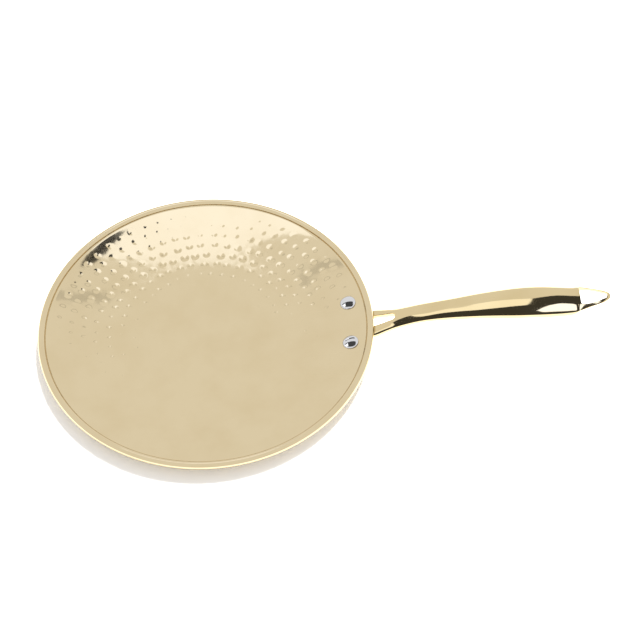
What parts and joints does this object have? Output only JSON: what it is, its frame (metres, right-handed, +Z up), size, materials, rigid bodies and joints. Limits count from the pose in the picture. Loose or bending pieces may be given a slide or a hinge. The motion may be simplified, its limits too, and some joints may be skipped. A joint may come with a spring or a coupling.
{
  "type": "griddle pan",
  "caption": "Shallow round griddle pan with a hammered, gold-finished steel dish, a rolled rim and a long domed handle whose forked root is riveted on; hanging loop at the tip.",
  "frame": {"origin": "centre of the dish's flat underside, on the surface that the pan stands on", "axes": "+Z up out of the dish, +X along the handle from the dish to the hanging loop, +Y across the handle"},
  "size_m": [0.4416, 0.26, 0.0382],
  "materials": {
    "gold_steel": "mirror-polished stainless steel with a pale gold vapour coating, hammered",
    "gold_casting": "mirror-polished cast stainless steel with a pale gold vapour coating",
    "bright_rivet": "mirror-polished uncoloured stainless steel"
  },
  "bodies": {
    "root": {"pan_dish": "gold_steel", "handle": "gold_casting", "rivet_left": "bright_rivet", "rivet_right": "bright_rivet"}
  },
  "joints": []
}
